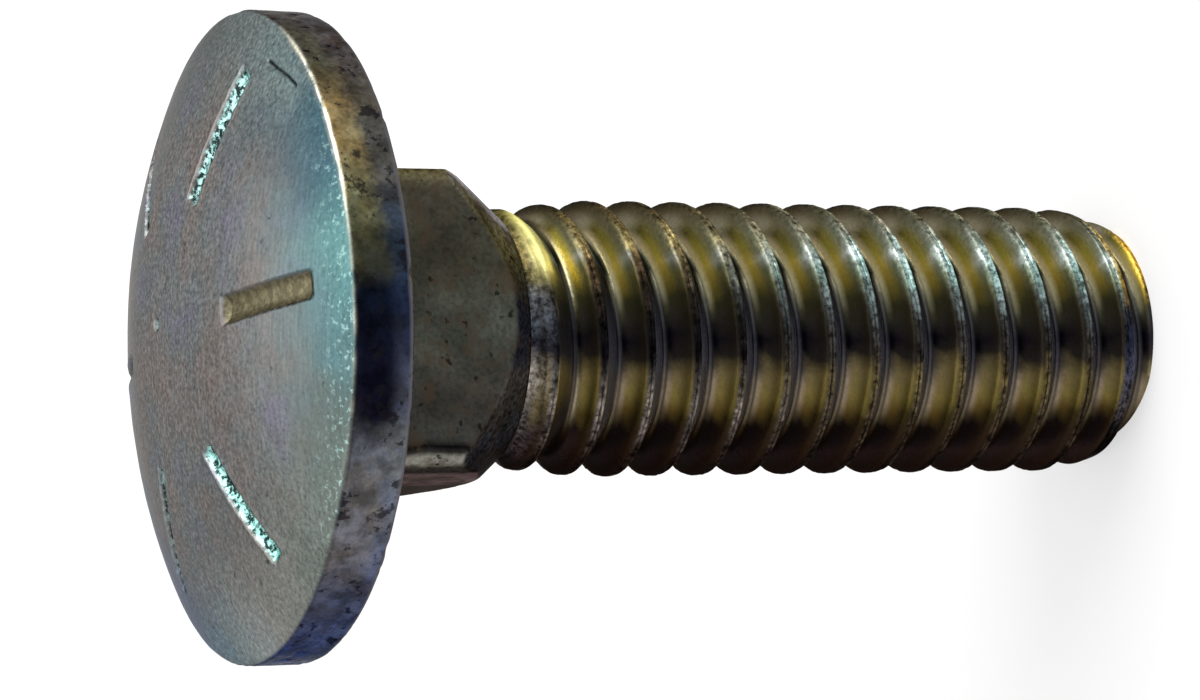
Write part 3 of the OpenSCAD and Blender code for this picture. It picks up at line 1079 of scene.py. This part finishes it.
@dataclass
class RolledThread:
    """Right-hand thread with its run-in and rounded tip."""

    sizes: BoltSizes
    finish: ThreadFinish = ThreadFinish(
        name="chromated_zinc_rolled_thread", roughness=0.27, grain_mm=0.1, bump_mm=0.006,
        metallic=0.72, edge_tint="#565048",
    )
    steps: int = 144
    turns: int = 17
    run_in_lead: float = 1.1
    run_in_turns: float = 3.1
    crest_middle: float = 0.012
    crest_half: float = 0.15
    flake_mm: float = 0.03
    seam_place: float = 0.02
    seam_mm: float = 0.035
    worn_mm: float = 0.008
    wave_mm: float = 0.006
    tip_round: float = 0.04
    tip_short: float = 0.001
    buried: float = 0.4
    run_in_highlight_turn: float = 36.0
    run_in_highlight_z: float = 6.1
    section: tuple[tuple[float, float], ...] = (
        (0.0, 0.0), (0.016, 0.0), (0.032, 0.001), (0.048, 0.002), (0.066, 0.005), (0.086, 0.014),
        (0.104, 0.032), (0.12, 0.062), (0.136, 0.105), (0.155, 0.16), (0.22, 0.31), (0.29, 0.48),
        (0.36, 0.65), (0.42, 0.79), (0.46, 0.875), (0.495, 0.94), (0.53, 0.98), (0.56, 0.995),
        (0.59, 0.985), (0.62, 0.955), (0.645, 0.905), (0.68, 0.81), (0.73, 0.64), (0.78, 0.46),
        (0.82, 0.32), (0.845, 0.235), (0.865, 0.165), (0.882, 0.115), (0.9, 0.072), (0.917, 0.04),
        (0.94, 0.016), (0.97, 0.004), (1.0, 0.0),
    )

    def shape(self, obj: bpy.types.Object) -> None:
        """Give the wound skin its run-in, its tip and its fine unevenness.

        Args:
            obj: The wound skin, with all its turns at full height.
        """
        s = self.sizes
        co = points_of(obj)
        angle = np.arctan2(co[:, 1], co[:, 0])
        r = np.hypot(co[:, 0], co[:, 1])
        part = (co[:, 2] - s.thread_start) / s.pitch - angle / TURN
        turns = np.floor(part + 1e-4) + angle / TURN
        share = part - np.floor(part + 1e-4)
        depth = (s.thread_r - r) / s.thread_depth
        grown = smooth_min((turns + share + self.run_in_lead) / self.run_in_turns, np.ones(len(co)), 0.15)
        grown = np.maximum(grown, 0)
        crest = s.shank_r + (s.thread_r - s.shank_r) * grown
        root = s.shank_r + (s.thread_r - s.thread_depth - s.shank_r) * grown
        full = crest + (root - crest) * depth
        t = np.clip(1 - (s.bolt_l - co[:, 2]) / s.tip_l, 0, 1)
        taper = s.thread_r - (s.thread_r - s.tip_r) * t * t
        r = smooth_min(full, taper, self.tip_round)
        flat = np.stack([r * np.cos(angle), r * np.sin(angle), co[:, 2]], 1)
        offset = (share - self.crest_middle + 0.5) % 1 - 0.5
        on_crest = smooth_step((self.crest_half - np.abs(offset)) / 0.04)
        skin = np.clip(lumps(flat, 0.22, 6.1) + 0.1, 0, 1) * self.flake_mm
        # The dies fold the crest together from both sides and leave a fine seam along it.
        seam = np.exp(-(((offset - self.seam_place) / 0.014) ** 2)) * grown
        seam *= np.clip(0.6 + 1.2 * lumps(flat, 1.6, 12.5), 0, 1)
        r = r - self.worn_mm - self.wave_mm * lumps(flat, 0.8, 4.4) - on_crest * skin - self.seam_mm * seam
        co[:, 0], co[:, 1] = r * np.cos(angle), r * np.sin(angle)
        move_points(obj, co)
        keep_value(obj, Mark.CREST, np.abs(offset))
        keep_value(obj, Mark.SIDE, np.sin(TURN * offset))
        keep_value(obj, Mark.RUN_IN, 1 - smooth_step((turns + share + 0.1) / 0.55))
        keep_value(obj, Mark.TIP, smooth_step((full - taper) / 0.06))
        # Painted highlight: one bright spot on the run-in.
        degrees = np.degrees(angle)
        beside = (co[:, 2] - self.run_in_highlight_z - degrees * 0.002) / 0.24
        spot = np.exp(-(((degrees - self.run_in_highlight_turn) / 22) ** 4) - beside**2)
        keep_value(obj, Mark.RUBBED, np.clip(spot * (2.2 + 1.6 * lumps(flat, 0.4, 17.2)), 0, 1))

    def build(self) -> bpy.types.Object:
        """Build the thread's mesh and dress it.

        Returns:
            The finished piece.
        """
        s = self.sizes
        low = s.thread_start - 2 * s.pitch
        points = [(s.thread_r - d * s.thread_depth, low + x * s.pitch) for x, d in self.section]
        obj = draw_outline("rolled_thread", points)
        make_active(obj)
        screw = obj.modifiers.new("screw", "SCREW")
        screw.angle, screw.screw_offset, screw.iterations = TURN, s.pitch, self.turns
        screw.steps = screw.render_steps = self.steps
        screw.use_merge_vertices = False
        bpy.ops.object.modifier_apply(modifier=screw.name)
        merge_close(obj, 1e-3)
        self.shape(obj)
        edit_all(obj)
        # The tip is cut a micron short, so that rounding can't put it under the table.
        for height, outer in ((s.bolt_l - self.tip_short, True), (s.neck_end_z - self.buried, False)):
            bpy.ops.mesh.select_all(action="SELECT")
            bpy.ops.mesh.bisect(
                plane_co=(0, 0, height), plane_no=(0, 0, 1), use_fill=True,
                clear_outer=outer, clear_inner=not outer,
            )
        bpy.ops.mesh.select_all(action="SELECT")
        bpy.ops.mesh.normals_make_consistent(inside=False)
        bpy.ops.object.mode_set(mode="OBJECT")
        obj.data.materials.append(self.finish.build())
        return stand_up(obj, 60)


# ---------------------------------------------------------------- studio


@dataclass(frozen=True)
class Softbox:
    """One square lamp that faces the bolt."""

    name: str
    place: tuple[float, float, float]
    size: float
    power: float

    def build(self, aim: Vector) -> None:
        """Hang the lamp and turn it to the bolt.

        Args:
            aim: The point that the lamp faces.
        """
        lamp = bpy.data.lights.new(self.name, "AREA")
        lamp.shape = "SQUARE"
        lamp.size = self.size
        lamp.energy = self.power
        obj = bpy.data.objects.new(self.name, lamp)
        bpy.context.scene.collection.objects.link(obj)
        obj.location = self.place
        obj.rotation_euler = (aim - Vector(self.place)).to_track_quat("-Z", "Y").to_euler()


@dataclass(frozen=True)
class Studio:
    """Pale floor, soft light and the camera, which is turned on its side."""

    lamps: tuple[Softbox, ...] = (
        Softbox("softbox_side", (0.32, -0.085, 0.21), 0.32, 1.35),
        Softbox("softbox_top", (0.05, 0.03, 0.42), 0.5, 0.8),
    )
    aim: tuple[float, float, float] = (0.0, 0.0, 0.015)
    world_grey: float = 0.66
    floor_size: float = 4.0
    floor_hex: str = "#fafafa"
    floor_glow: float = 0.6
    camera_place: tuple[float, float, float] = (-0.000322, -0.107689, 0.065218)
    camera_fall: float = 24.39
    lens: float = 123.9
    sensor_width: float = 36.0

    def floor(self) -> None:
        """Lay the floor, white to the camera but for the bolt's shadow."""
        deselect_all()
        bpy.ops.mesh.primitive_plane_add(size=self.floor_size)
        plane = bpy.context.object
        plane.name = "floor"
        bench = NodeBench(bpy.data.materials.new("matt_white_floor"))
        pale = bench.add("BsdfDiffuse", {"Color": self.floor_hex})
        glow = bench.add("Emission", {"Color": (1, 1, 1, 1), "Strength": 1.0})
        ray = bench.add("LightPath").outputs
        seen = ray["Is Camera Ray"]
        for other in ("Is Glossy Ray", "Is Transmission Ray"):
            seen = bench.add("Math", (seen, ray[other]), operation="MAXIMUM")
        share = bench.add("Math", (seen, self.floor_glow), operation="MULTIPLY")
        bench.add("OutputMaterial", {"Surface": bench.add("MixShader", (share, pale, glow))})
        plane.data.materials.append(bench.material)

    def camera(self) -> None:
        """Set up the camera at the photograph's viewing angle."""
        data = bpy.data.cameras.new("camera")
        data.lens = self.lens
        data.sensor_width = self.sensor_width
        data.clip_start = 0.005
        obj = bpy.data.objects.new("camera", data)
        bpy.context.scene.collection.objects.link(obj)
        fall = math.radians(self.camera_fall)
        right = Vector((0, -math.sin(fall), -math.cos(fall)))
        up = Vector((1, 0, 0))
        back = right.cross(up)
        turn = Matrix((right, up, back)).transposed().to_4x4()
        obj.matrix_world = Matrix.Translation(self.camera_place) @ turn
        bpy.context.scene.camera = obj

    def build(self) -> None:
        """Set up the world, the floor, the lamps and the camera."""
        world = bpy.data.worlds.new("studio")
        bpy.context.scene.world = world
        world.use_nodes = True
        sky = world.node_tree.nodes["Background"]
        sky.inputs["Color"].default_value = (*(self.world_grey,) * 3, 1)
        sky.inputs["Strength"].default_value = 1.0
        self.floor()
        for lamp in self.lamps:
            lamp.build(Vector(self.aim))
        self.camera()
        bpy.context.scene.view_settings.view_transform = "Standard"


def main() -> None:
    """Build the bolt and its studio, and report each piece."""
    for maker in (DomedHead(SIZES), SquareNeck(SIZES), RolledThread(SIZES)):
        piece = maker.build()
        piece.data.calc_loop_triangles()
        log.info("%s: %d triangles", piece.name, len(piece.data.loop_triangles))
    Studio().build()
    deselect_all()


if __name__ == "__main__":
    main()
